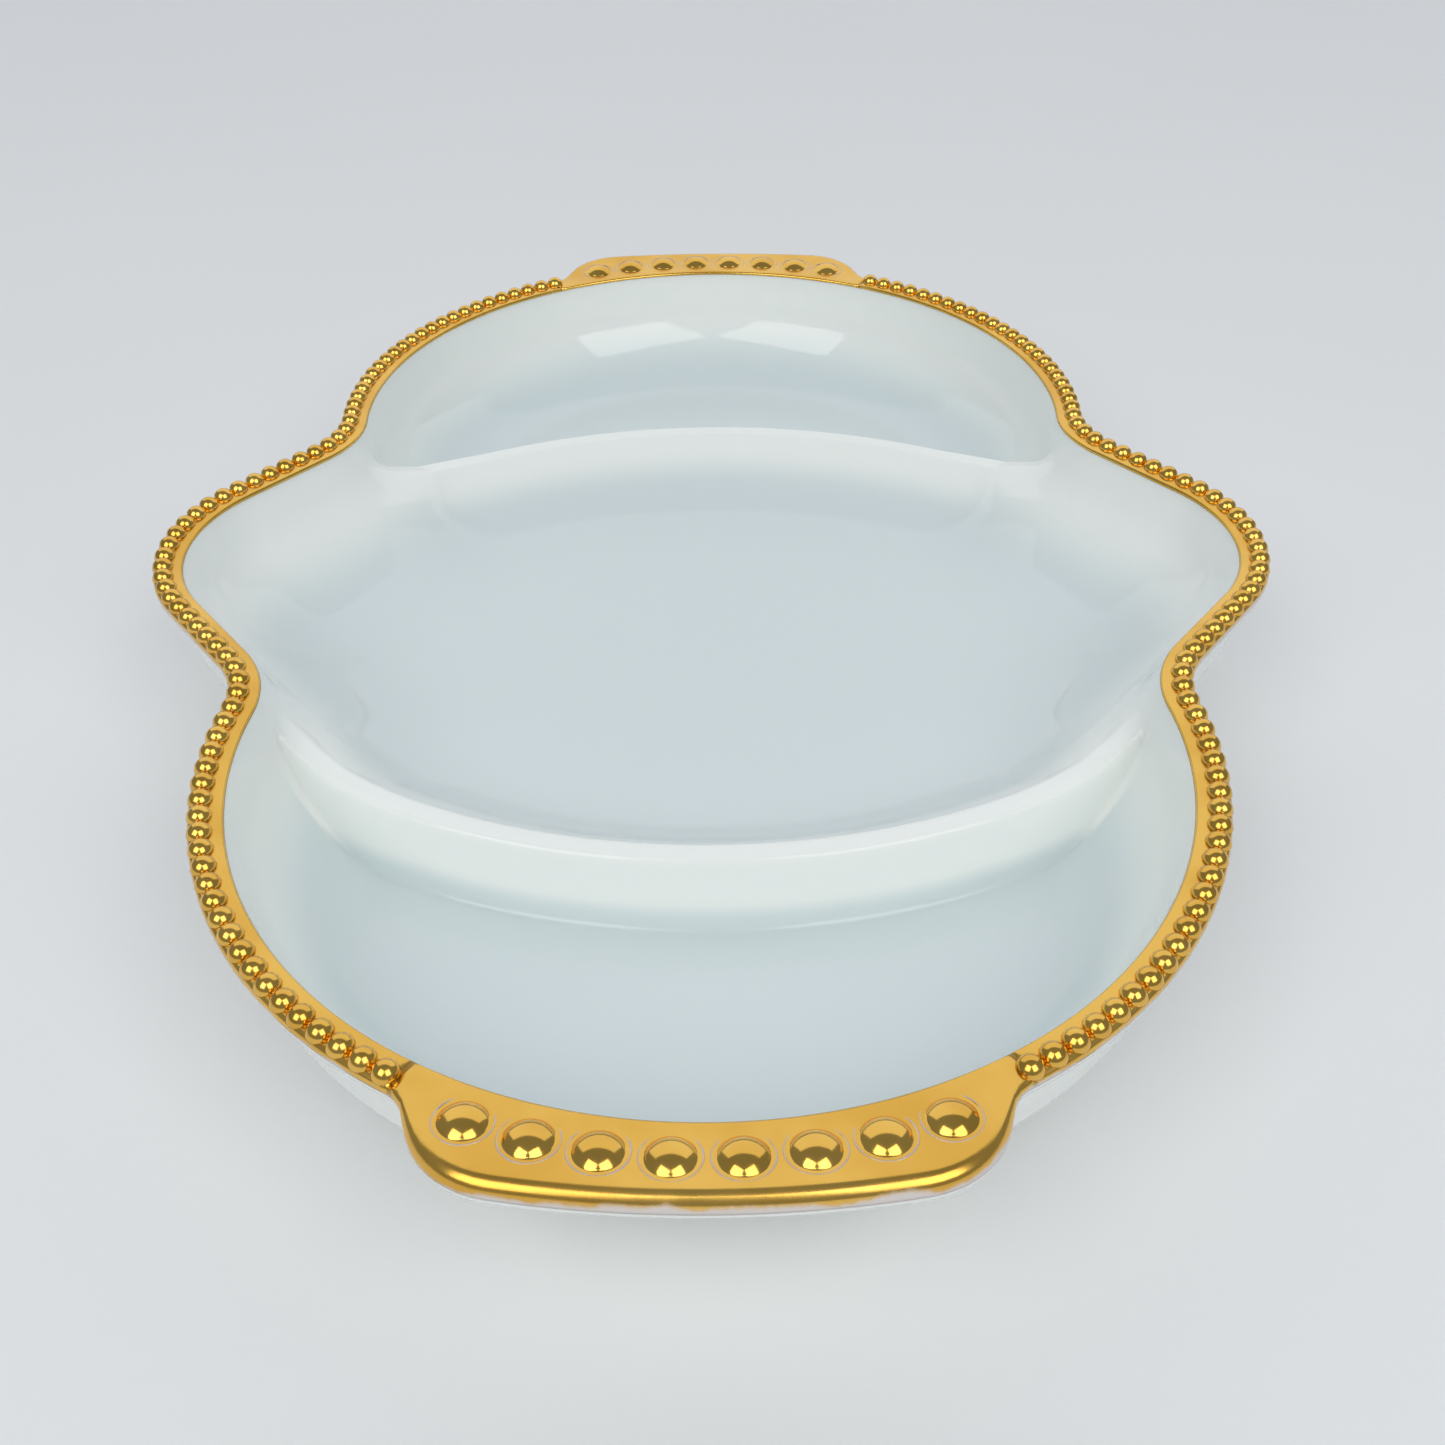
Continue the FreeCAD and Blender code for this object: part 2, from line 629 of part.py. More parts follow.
def build_bosses(name, end):
    """The row of gilded bosses on one tab."""
    slope = math.radians(size("tab_slope"))
    row = value(END_RADIUS) + size("boss_line")
    step = size("boss_pitch") / row
    count = int(size("boss_count"))
    climb = size("boss_line") * math.tan(slope) + size("gilding_thickness")
    bosses = []
    for number in range(count):
        bearing = math.pi / 2 + (number - (count - 1) / 2) * step
        out = Vector(math.cos(bearing), end * math.sin(bearing), 0)
        foot = out * row + Vector(0, end * value(END_CENTRE), value(RIM_LEVEL) + climb)
        normal = Vector(0, 0, math.cos(slope)) - out * math.sin(slope)
        bosses.append(dome(size("boss_base"), size("boss_rise"), foot, normal))
    return build_group(name, bosses)


def check_and_write(nodes):
    """Stops on any failed object or bad shape, then writes one file a node."""
    document.recompute()
    for item in document.Objects:
        if "Invalid" in item.State or "Error" in item.State:
            raise RuntimeError("%s is %s" % (item.Name, item.State))
    for node in nodes:
        if node.Shape.isNull() or not node.Shape.isValid() or not node.Shape.Solids:
            raise RuntimeError("%s has no valid shape" % node.Label)
    os.makedirs("parts", exist_ok=True)
    for node in nodes:
        node.Shape.exportStep(os.path.join("parts", node.Label + ".step"))
        print("%-20s %3d solids %12.1f mm3" % (node.Label, len(node.Shape.Solids), node.Shape.Volume))


sides = (("left", -1), ("right", 1))
ends = (("front", -1), ("back", 1))
built = [build_dish()]
built += [build_rim_gilding(word + "_rim_gilding", side) for word, side in sides]
built += [build_beads(word + "_rim_beads", side) for word, side in sides]
built += [build_tab_gilding(word + "_tab_gilding", end) for word, end in ends]
built += [build_bosses(word + "_tab_bosses", end) for word, end in ends]
check_and_write(built)
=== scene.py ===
"""Divided opal glass dish with a gilded, beaded rim: the finished surfaces.

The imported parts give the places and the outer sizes.  Lengths in the shape
functions are millimetres and are turned into metres when a point is placed.
"""

import math

import bmesh
import bpy
import numpy as np
from mathutils import Matrix, Vector


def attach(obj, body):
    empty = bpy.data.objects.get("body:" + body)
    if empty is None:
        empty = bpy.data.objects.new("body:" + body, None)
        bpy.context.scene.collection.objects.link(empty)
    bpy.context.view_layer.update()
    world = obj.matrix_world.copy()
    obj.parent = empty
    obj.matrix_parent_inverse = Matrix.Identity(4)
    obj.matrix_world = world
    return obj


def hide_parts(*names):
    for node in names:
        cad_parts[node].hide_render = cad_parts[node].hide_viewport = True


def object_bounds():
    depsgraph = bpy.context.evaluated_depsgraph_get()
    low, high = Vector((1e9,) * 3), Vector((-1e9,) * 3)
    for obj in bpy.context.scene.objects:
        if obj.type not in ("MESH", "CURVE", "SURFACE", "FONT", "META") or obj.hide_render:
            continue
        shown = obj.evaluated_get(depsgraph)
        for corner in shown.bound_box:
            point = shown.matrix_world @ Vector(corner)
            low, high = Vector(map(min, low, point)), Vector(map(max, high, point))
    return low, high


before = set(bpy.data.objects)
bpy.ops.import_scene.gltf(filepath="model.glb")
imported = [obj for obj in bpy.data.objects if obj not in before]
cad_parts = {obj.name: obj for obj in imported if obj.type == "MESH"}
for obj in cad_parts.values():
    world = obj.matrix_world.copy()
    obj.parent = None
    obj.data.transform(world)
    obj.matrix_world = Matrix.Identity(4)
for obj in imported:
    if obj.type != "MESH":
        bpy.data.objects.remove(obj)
cad_box = [list(map(float, corner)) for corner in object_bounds()]

bl_info = {
    "name": "Divided Dish",
    "version": (1, 0, 0),
    "blender": (4, 5, 0),
    "location": "3D View > Sidebar > Dish",
    "description": "Builds a divided opal glass dish with a gilded, beaded rim",
    "category": "Add Mesh",
}

MM = 0.001
FIT = 0.12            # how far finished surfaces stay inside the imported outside, mm
RIM_LEVEL = 29.6      # height of the mouth's edge over the ground, mm
WALL_DRAFT = 11.0     # lean of the walls off upright, degrees
RIB_DRAFT = 14.0      # lean of a divider's steep face off upright, degrees
BOSSES = 8            # bosses on one tab


# ---------------------------------------------------------------- sizes

class DishSizes(bpy.types.PropertyGroup):
    """Sizes of the dish in millimetres and degrees."""

    nose_radius: bpy.props.FloatProperty(
        name="Nose radius", description="Plan radius of the side lobes", default=28.7, min=10
    )
    flank_angle: bpy.props.FloatProperty(
        name="Flank angle", description="Lean of the straight flank's normal", default=38.7
    )
    hollow_radius: bpy.props.FloatProperty(
        name="Hollow radius", description="Plan radius between the lobes", default=23.0, min=8
    )
    end_radius: bpy.props.FloatProperty(
        name="End radius", description="Plan radius of the end lobes", default=70.8, min=30
    )
    end_centre: bpy.props.FloatProperty(
        name="End centre", description="Distance of an end arc's centre", default=56.8, min=10
    )
    rim_band: bpy.props.FloatProperty(
        name="Rim band", description="Width of the rim outside the mouth", default=4.9, min=2
    )
    bead_height: bpy.props.FloatProperty(
        name="Bead height", description="Rise of the beads over the rim", default=1.95, min=0.5
    )
    bead_base: bpy.props.FloatProperty(
        name="Bead base", description="Width of a bead at its foot", default=3.7, min=1
    )
    bead_line: bpy.props.FloatProperty(
        name="Bead line", description="Distance of the bead row from the mouth", default=3.0, min=1
    )
    bead_pitch: bpy.props.FloatProperty(
        name="Bead pitch", description="Spacing of the beads along the rim", default=3.72, min=2
    )
    tab_flat_half: bpy.props.FloatProperty(
        name="Tab half width", description="Half the crowned front edge of a tab", default=24.3
    )
    tab_crown: bpy.props.FloatProperty(
        name="Tab crown", description="Rise of a tab's front edge at its middle", default=2.0
    )
    tab_corner: bpy.props.FloatProperty(
        name="Tab corner", description="Radius of a tab's corners", default=13.0
    )
    tab_root: bpy.props.FloatProperty(
        name="Tab root", description="Radius where a tab leaves the rim", default=5.0
    )
    tab_side: bpy.props.FloatProperty(
        name="Tab side", description="Lean of a tab's sides in plan", default=75.0
    )
    tab_slope: bpy.props.FloatProperty(
        name="Tab slope", description="Rise of a tab's top, outwards", default=5.5
    )
    boss_base: bpy.props.FloatProperty(
        name="Boss base", description="Width of a boss at its foot", default=6.2
    )
    boss_rise: bpy.props.FloatProperty(
        name="Boss rise", description="Height of a boss over the tab", default=1.4
    )
    boss_pitch: bpy.props.FloatProperty(
        name="Boss pitch", description="Spacing of the bosses", default=8.1
    )
    boss_line: bpy.props.FloatProperty(
        name="Boss line", description="Distance of the boss row from the mouth", default=5.1
    )
    floor_level: bpy.props.FloatProperty(
        name="Floor level", description="Height of the compartment floors", default=5.5
    )
    ridge_drop: bpy.props.FloatProperty(
        name="Ridge drop", description="Depth of the divider tops under the rim", default=12.4
    )
    divider_bow: bpy.props.FloatProperty(
        name="Divider bow", description="Distance of a divider from the middle", default=67.0
    )
    divider_radius: bpy.props.FloatProperty(
        name="Divider radius", description="Plan radius of a divider", default=104.0
    )
    divider_width: bpy.props.FloatProperty(
        name="Divider width", description="Width of a divider's top", default=3.2
    )


class DishFinish(bpy.types.PropertyGroup):
    """Colours of the dish."""

    # Colour on the floors: partly the thin glass, partly painted shade, darker and bluer than the
    # walls.
    opal_thin_and_painted_shade: bpy.props.FloatVectorProperty(
        name="Thin opal", description="Colour of the thin, cooler glass", subtype="COLOR",
        size=3, default=(0.715, 0.79, 0.795), min=0, max=1
    )
    # Colour on the walls and the dividers' tops and faces: partly the thicker glass, partly painted
    # light that makes them lighter than the floors.
    opal_thick_and_painted_light: bpy.props.FloatVectorProperty(
        name="Thick opal", description="Colour of the thick, warmer glass", subtype="COLOR",
        size=3, default=(0.93, 0.965, 0.915), min=0, max=1
    )
    gold: bpy.props.FloatVectorProperty(
        name="Gold", description="Colour of the fired gold", subtype="COLOR",
        size=3, default=(0.88, 0.53, 0.11), min=0, max=1
    )
    gold_deep: bpy.props.FloatVectorProperty(
        name="Deep gold", description="Colour of the thicker gold", subtype="COLOR",
        size=3, default=(0.77, 0.43, 0.07), min=0, max=1
    )
    bare: bpy.props.FloatVectorProperty(
        name="Bare glass", description="Colour where the gold is worn off", subtype="COLOR",
        size=3, default=(0.72, 0.66, 0.62), min=0, max=1
    )
    paper: bpy.props.FloatVectorProperty(
        name="Floor", description="Colour of the floor", subtype="COLOR",
        size=3, default=(0.89, 0.89, 0.885), min=0, max=1
    )


def sizes():
    return bpy.context.scene.dish_sizes


def finish():
    return bpy.context.scene.dish_finish


# ---------------------------------------------------------------- plan of the dish

def polar(radius, angle):
    return Vector((radius * math.cos(angle), radius * math.sin(angle)))


def sweep(centre, radius, begin, finish_at, steps=16):
    """Points round a circle, from one direction to another the short way."""
    first = math.atan2(begin.y, begin.x)
    turn = math.atan2(finish_at.y, finish_at.x) - first
    turn = (turn + math.pi) % (2 * math.pi) - math.pi
    return [centre + polar(radius, first + turn * step / steps) for step in range(steps + 1)]


class Plan:
    """The lobed outline of the mouth, walked by length from a nose to an end tip."""

    def __init__(self):
        s = sizes()
        half_width = cad_box[1][0] / MM
        self.reach = cad_box[1][1] / MM
        self.rim_level = RIM_LEVEL
        self.nose = Vector((half_width - s.rim_band - s.nose_radius, 0))
        self.end = Vector((0, s.end_centre))
        lean = math.radians(s.flank_angle)
        self.lean = lean
        self.outward = polar(1, lean)
        along = Vector((-self.outward.y, self.outward.x))
        start = self.nose + self.outward * (s.nose_radius + s.hollow_radius)
        gap = start - self.end
        half = gap.dot(along)
        root = half * half - gap.dot(gap) + (s.end_radius + s.hollow_radius) ** 2
        self.hollow = start + along * (-half - math.sqrt(root))
        if self.hollow.y < 0:
            self.hollow = start + along * (-half + math.sqrt(root))
        self.turn = math.atan2(self.hollow.y - self.end.y, self.hollow.x)
        self.flank = (self.hollow - self.outward * s.hollow_radius) - (
            self.nose + self.outward * s.nose_radius
        )
        self.lengths = (
            s.nose_radius * lean,
            self.flank.length,
            s.hollow_radius * (lean - self.turn),
            s.end_radius * (math.pi / 2 - self.turn),
        )
        self.total = sum(self.lengths)
        self.tip = self.end.y + s.end_radius
        self.tab_table = self.tab_reach_table()

    def at(self, way):
        """The point and outward normal at a length along the quarter outline."""
        s = sizes()
        nose, flank, hollow, end = self.lengths
        if way <= nose:
            normal = polar(1, way / s.nose_radius)
            return self.nose + normal * s.nose_radius, normal
        way -= nose
        if way <= flank:
            foot = self.nose + self.outward * s.nose_radius
            return foot + self.flank * (way / flank), self.outward.copy()
        way -= flank
        if way <= hollow:
            normal = polar(1, self.lean - way / s.hollow_radius)
            return self.hollow - normal * s.hollow_radius, normal
        way = min(way - hollow, end)
        normal = polar(1, self.turn + way / s.end_radius)
        return self.end + normal * s.end_radius, normal

    def tab_reach_table(self):
        """The tab's outline as bearings from the end arc's centre and radii."""
        s = sizes()
        crown_radius = (s.tab_flat_half ** 2 + s.tab_crown ** 2) / (2 * s.tab_crown)
        crown_centre = Vector((0, self.reach - FIT - crown_radius))
        shoulder = Vector((s.tab_flat_half, self.reach - FIT - s.tab_crown))
        inward = (crown_centre - shoulder).normalized()
        corner = shoulder + inward * s.tab_corner
        steep = math.radians(s.tab_side)
        out = Vector((math.sin(steep), math.cos(steep)))
        along = Vector((out.y, -out.x))
        rim = s.end_radius + s.rim_band - FIT
        start = corner + out * (s.tab_corner + s.tab_root) - self.end
        lean = start.dot(along)
        root = lean * lean - start.dot(start) + (rim + s.tab_root) ** 2
        flare = self.end + start + along * max(0.0, -lean - math.sqrt(root))
        grip = self.end + (flare - self.end) * (rim / (rim + s.tab_root))
        self.grip = math.atan2(grip.x, grip.y - self.end.y)
        ahead = Vector((0, 1))
        points = sweep(crown_centre, crown_radius, ahead, -inward)
        points += sweep(corner, s.tab_corner, -inward, out)[1:]
        points += sweep(flare, s.tab_root, -out, (grip - flare).normalized())
        table = []
        for point in points:
            spoke = point - self.end
            table.append((math.atan2(spoke.x, spoke.y), spoke.length - s.end_radius))
        return table

    def band(self, bearing):
        """Width of the rim at a bearing off the long axis, seen from the end centre."""
        if bearing >= self.grip:
            return sizes().rim_band - FIT
        bearings, reaches = zip(*self.tab_table)
        return float(np.interp(bearing, bearings, reaches))


def ramp(low, high, value):
    """Smooth step from 0 at low to 1 at high."""
    share = np.clip((value - low) / (high - low), 0.0, 1.0)
    return share * share * (3 - 2 * share)


def rounded(corners, per_arc=14):
    """Points along a bent line whose inner corners (x, z, radius) are rounded."""
    line = [Vector(corners[0][:2])]
    for before, here, after in zip(corners, corners[1:], corners[2:]):
        point = Vector(here[:2])
        back = (Vector(before[:2]) - point).normalized()
        ahead = (Vector(after[:2]) - point).normalized()
        half = back.angle(ahead) / 2
        reach = here[2] / math.tan(half)
        middle = point + (back + ahead).normalized() * (here[2] / math.sin(half))
        first = point + back * reach - middle
        last = point + ahead * reach - middle
        line += sweep(middle, here[2], first, last, per_arc)
    line.append(Vector(corners[-1][:2]))
    return np.array([tuple(point) for point in line])


# ---------------------------------------------------------------- the inside surface

class Inside:
    """Height of the inside of the dish over its plan."""

    def __init__(self, plan):
        s = sizes()
        self.plan = plan
        self.floor = s.floor_level
        self.ridge = plan.rim_level - s.ridge_drop
        drop = plan.rim_level - self.ridge
        shoulder = drop * math.tan(math.radians(WALL_DRAFT))
        toe = shoulder + (self.ridge - self.floor)
        rim = plan.rim_level
        self.end_wall = rounded((
            (-2.0, rim, 0), (0.0, rim, 0.5), (shoulder, self.ridge, 15.0),
            (toe, self.floor, 15.0), (90.0, self.floor, 0),
        ))
        self.middle_wall = rounded((
            (-2.0, rim, 0), (0.0, rim, 0.5), (shoulder + 1.5, self.ridge + 2, 19.0),
            (toe + 6.0, self.floor, 34.0), (90.0, self.floor, 0),
        ))
        width = s.divider_width
        face = (self.ridge - self.floor) * math.tan(math.radians(RIB_DRAFT))
        self.rib = rounded((
            (-90.0, 0, 0), (-15.0, 0, 24.0), (-0.2, self.ridge - self.floor, 1.3),
            (width, self.ridge - self.floor, 0.9), (width + face, 0, 1.3), (90.0, 0, 0),
        ))

    def across(self, x, y):
        """Distance from a divider's inner edge, outwards along the dish."""
        s = sizes()
        middle = s.divider_radius - s.divider_bow
        return np.hypot(x, np.abs(y) + middle) - s.divider_radius

    def height(self, x, y, depth):
        """Height at plan points that lie a given depth inside the mouth."""
        across = self.across(x, y)
        end_side = ramp(-3.0, 6.0, across)
        wall = np.interp(depth, self.middle_wall[:, 0], self.middle_wall[:, 1])
        wall_end = np.interp(depth, self.end_wall[:, 0], self.end_wall[:, 1])
        wall = wall + (wall_end - wall) * end_side - self.floor
        lift = 1.0 + 0.16 * ramp(46.0, 72.0, np.abs(x))
        rib = np.interp(across, self.rib[:, 0], self.rib[:, 1]) * lift
        reach = 10.0 - 7.0 * ramp(2.6, 5.0, across)
        reach = np.minimum(reach, 1.3 * np.minimum(np.maximum(wall, 0), rib))
        reach = np.maximum(reach, 1e-6)
        overlap = np.maximum(reach - np.abs(wall - rib), 0) / reach
        return self.floor + np.maximum(wall, rib) + reach * overlap * overlap / 4

    def thick_glass_and_painted_light(self, x, y, height):
        """Where the glass is painted lighter and warmer: the dividers' tops and faces, and the walls
        higher up. This is partly the thicker glass and partly painted light, set against the floors'
        painted shade.
        """
        across = self.across(x, y)
        # Painted light, with some thickness: the dividers' faces and the upper walls are painted
        # lighter than the floors, which keep a darker painted shade.
        near = ramp(-12.0, -1.0, across) * (1 - ramp(5.6, 7.2, across))
        raised = ramp(self.floor + 0.6, self.floor + 6.0, height)
        wall = ramp(self.floor + 1.0, self.floor + 16.0, height)
        return np.maximum(near * raised, wall)


# ---------------------------------------------------------------- how the surface is divided

CORE_DEPTH = 4.0      # the gridded middle starts this far inside the mouth, mm
COLUMNS = 96
ROW_STEPS = (          # rows along half the dish: up to this distance, in steps of, mm
    (60.0, 2.0), (66.0, 0.75), (68.0, 0.25), (69.4, 0.35), (71.0, 0.2),
    (72.4, 0.35), (75.0, 0.26), (80.0, 0.7), (1000.0, 1.9),
)
INNER_DEPTHS = (3.55, 3.1, 2.7, 2.3, 1.9, 1.5, 1.1, 0.75, 0.5, 0.34, 0.22, 0.12, 0.04)


def row_places(last):
    """Distances of the rows along the middle line, from the centre to a tip."""
    places = [0.0]
    for limit, step in ROW_STEPS:
        stop = min(limit, last)
        count = max(1, round((stop - places[-1]) / step))
        start = places[-1]
        places += [start + (stop - start) * number / count for number in range(1, count + 1)]
        if stop == last:
            break
    return places


class Layout:
    """Rows bent like the dividers and columns between them, and the ring round them."""

    def __init__(self, plan):
        self.plan = plan
        s = sizes()
        self.tip = plan.tip - CORE_DEPTH
        rows = row_places(self.tip)
        self.rows = [-place for place in reversed(rows[1:])] + rows
        self.columns = []
        for number in range(COLUMNS + 1):
            share = 2 * number / COLUMNS - 1
            self.columns.append(share * (1 + 0.35 * (1 - share * share)))
        self.corner = plan.total - math.radians(45) * s.end_radius
        self.inner_bow = s.divider_bow - 5.0
        self.outer_bow = s.divider_bow + 10.0
        self.inner_way = self.meet(self.inner_bow)
        self.outer_way = self.meet(self.outer_bow)
        self.ring = self.ring_places()

    def bend(self, place):
        """Radius of the row that crosses the middle line at a place."""
        s = sizes()
        away = s.divider_radius - s.divider_bow
        if place < self.inner_bow:
            return (self.inner_bow + away) * self.inner_bow / max(place, 1e-3)
        if place < self.outer_bow:
            return place + away
        share = (place - self.outer_bow) / (self.tip - self.outer_bow)
        start = 1 / (self.outer_bow + away)
        return 1 / (start + (1 / (s.end_radius - CORE_DEPTH) - start) * share)

    def meet(self, place):
        """Length along the quarter outline where a divider's row reaches the ring."""
        radius = self.bend(place)
        low = self.plan.lengths[0] + self.plan.lengths[1]
        high = self.corner
        for _ in range(48):
            way = (low + high) / 2
            point, normal = self.plan.at(way)
            point = point - normal * CORE_DEPTH
            row = place - radius + math.sqrt(max(radius * radius - point.x ** 2, 0))
            if point.y < row:
                low = way
            else:
                high = way
        return low

    def row_way(self, place):
        if place <= self.inner_bow:
            return self.inner_way * place / self.inner_bow
        if place <= self.outer_bow:
            return self.meet(place)
        share = (place - self.outer_bow) / (self.tip - self.outer_bow)
        return self.outer_way + (self.corner - self.outer_way) * share

    def tip_way(self, column):
        """Length along the outline where a column of the last row ends."""
        radius = sizes().end_radius - CORE_DEPTH
        corner, normal = self.plan.at(self.corner)
        side = (corner.x - normal.x * CORE_DEPTH) * abs(column)
        return self.plan.total - math.asin(side / radius) * sizes().end_radius

    def core_point(self, row, column):
        """Plan place of a grid point."""
        place = abs(self.rows[row])
        side = 1 if self.rows[row] >= 0 else -1
        point, normal = self.plan.at(self.row_way(place))
        point = point - normal * CORE_DEPTH
        radius = self.bend(place)
        full = radius - math.sqrt(radius * radius - point.x ** 2)
        x = point.x * self.columns[column]
        sag = radius - math.sqrt(radius * radius - x * x)
        y = place - (place - point.y) * sag / full
        return x, side * y

    def ring_places(self):
        """(length, east, north) round the ring, anticlockwise from the front left corner."""
        last = len(self.rows) - 1
        ring = []
        for column in range(COLUMNS):
            ring.append((self.tip_way(self.columns[column]), self.columns[column], -1))
        for row in range(last):
            ring.append((self.row_way(abs(self.rows[row])), 1, self.rows[row]))
        for column in range(COLUMNS, 0, -1):
            ring.append((self.tip_way(self.columns[column]), self.columns[column], 1))
        for row in range(last, 0, -1):
            ring.append((self.row_way(abs(self.rows[row])), -1, self.rows[row]))
        return [(way, sign(east), sign(north)) for way, east, north in ring]

    def ring_grid(self):
        """Grid places (row, column) of the ring's points, in the ring's order."""
        last = len(self.rows) - 1
        grid = [(0, column) for column in range(COLUMNS)]
        grid += [(row, COLUMNS) for row in range(last)]
        grid += [(last, column) for column in range(COLUMNS, 0, -1)]
        grid += [(row, 0) for row in range(last, 0, -1)]
        return grid


def sign(value):
    return (value > 0) - (value < 0)


# ---------------------------------------------------------------- the rim and the outside

class Rim:
    """Cross-sections of the rim, the tabs and the outside, round the ring."""

    def __init__(self, plan, layout):
        self.plan = plan
        self.spots = []
        for way, east, north in layout.ring:
            point, normal = plan.at(way)
            bearing = max(0.0, (plan.total - way) / sizes().end_radius)
            band = plan.band(bearing) if bearing < 1.2 else sizes().rim_band - FIT
            place = Vector((point.x * east, point.y * north))
            out = Vector((normal.x * east, normal.y * north))
            self.spots.append((place, out, band))

    def top(self, reach, band):
        """Height over the rim level at a reach from the mouth, for a rim of a width."""
        tab = tabness(band)
        crest = 0.22 * (1 - math.exp(-max(reach, 0) / 0.7))
        slope = math.tan(math.radians(sizes().tab_slope))
        dish = 0.28 * math.sin(math.pi * min(max(reach, 0) / band, 1)) * tab
        return crest * (1 - 0.5 * tab) + max(reach, 0) * slope * tab - dish

    def section(self, band):
        """(reach, height) from the mouth over the rim and down to its underside."""
        tab = tabness(band)
        edge = 0.85 + 1.0 * tab
        line = []
        for share in (0.03, 0.07, 0.12, 0.19, 0.28, 0.38, 0.5, 0.62, 0.74, 0.86, 0.94, 1.0):
            reach = (band - edge) * share
            line.append((reach, self.top(reach, band)))
        level = line[-1][1] - edge
        for step in range(1, 9):
            turn = math.radians(90 * step / 8)
            line.append((band - edge + edge * math.sin(turn), level + edge * math.cos(turn)))
        line.append((band, level - 0.45))
        line.append((band - 0.05, level - 0.95))
        under = min(level - 1.6, -2.75)
        line.append((band - 0.35, under + 0.25))
        line.append((band - 0.95, under))
        return line

    def outside(self, band):
        """(reach, height) from under the rim down the wall to inside the foot."""
        under = -2.95
        inner = min(3.0, band - 1.4)
        reach = band - 0.95
        line = []
        for share in (0.25, 0.5, 0.75):
            line.append((reach + (inner - reach) * share, under + 0.15 * share - 0.1))
        line += [(inner - 0.15, under - 0.3), (inner - 0.45, under - 1.2)]
        wall = rounded((
            (2.4, -4.6, 0), (-0.2, -16.6, 9.0), (-11.6, -27.8, 2.0),
            (-14.2, -28.3, 0.6), (-14.5, -29.55, 0.4), (-16.0, -29.6, 0),
        ), per_arc=5)
        line += [tuple(point) for point in wall]
        line += [(-17.5, -29.6), (-18.0, -29.4), (-18.3, -28.9), (-18.7, -28.1)]
        return line

    def place(self, number, reach, height):
        """A point of the ring's section, in millimetres."""
        spot, out, _ = self.spots[number]
        return Vector((*(spot + out * reach), self.plan.rim_level + height))


def tabness(band):
    """0 on the plain rim and 1 on the full tab."""
    return float(ramp(0.0, 1.0, (band - 4.9) / 5.0))


def metres(point):
    return Vector(point) * MM


# ---------------------------------------------------------------- mesh helpers

def finished(name, bm, material_names):
    """Turns a bmesh into a piece that rides on the dish."""
    mesh = bpy.data.meshes.new(name)
    bmesh.ops.recalc_face_normals(bm, faces=bm.faces)
    for face in bm.faces:
        face.smooth = True
    bm.to_mesh(mesh)
    bm.free()
    piece = bpy.data.objects.new(name, mesh)
    bpy.context.scene.collection.objects.link(piece)
    for material_name in material_names:
        mesh.materials.append(bpy.data.materials[material_name])
    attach(piece, "root")
    return piece


def grow_ring(bm, ring, places):
    """Extrudes a closed ring of vertices once and puts the new ring in its places."""
    edges = []
    for here, vert in enumerate(ring):
        edges.append(bm.edges.get((vert, ring[(here + 1) % len(ring)])))
    grown = bmesh.ops.extrude_edge_only(bm, edges=edges)["geom"]
    fresh = {item for item in grown if isinstance(item, bmesh.types.BMVert)}
    new_ring = []
    for vert in ring:
        new_ring.append(next(
            edge.other_vert(vert) for edge in vert.link_edges if edge.other_vert(vert) in fresh
        ))
    for vert, place in zip(new_ring, places):
        vert.co = metres(place)
    return new_ring


def spun(profile, steps):
    """A bmesh turned about Z from a profile of (radius, height) points, closed below."""
    bm = bmesh.new()
    verts = [bm.verts.new((radius, 0, height)) for radius, height in profile]
    edges = [bm.edges.new(pair) for pair in zip(verts, verts[1:])]
    bmesh.ops.spin(
        bm, geom=verts + edges, cent=(0, 0, 0), axis=(0, 0, 1), angle=2 * math.pi,
        steps=steps, use_merge=True,
    )
    bmesh.ops.remove_doubles(bm, verts=bm.verts, dist=1e-4)
    bmesh.ops.holes_fill(bm, edges=[edge for edge in bm.edges if edge.is_boundary])
    return bm


def stamp(bm, stencil, place, normal):
    """Adds a copy of a stencil mesh at a place in millimetres, standing on a normal."""
    turn = Vector((0, 0, 1)).rotation_difference(Vector(normal)).to_matrix().to_4x4()
    start = len(bm.verts)
    bm.from_mesh(stencil)
    bm.verts.ensure_lookup_table()
    matrix = Matrix.Scale(MM, 4) @ Matrix.Translation(Vector(place)) @ turn
    bmesh.ops.transform(bm, matrix=matrix, verts=bm.verts[start:])


# ---------------------------------------------------------------- pieces

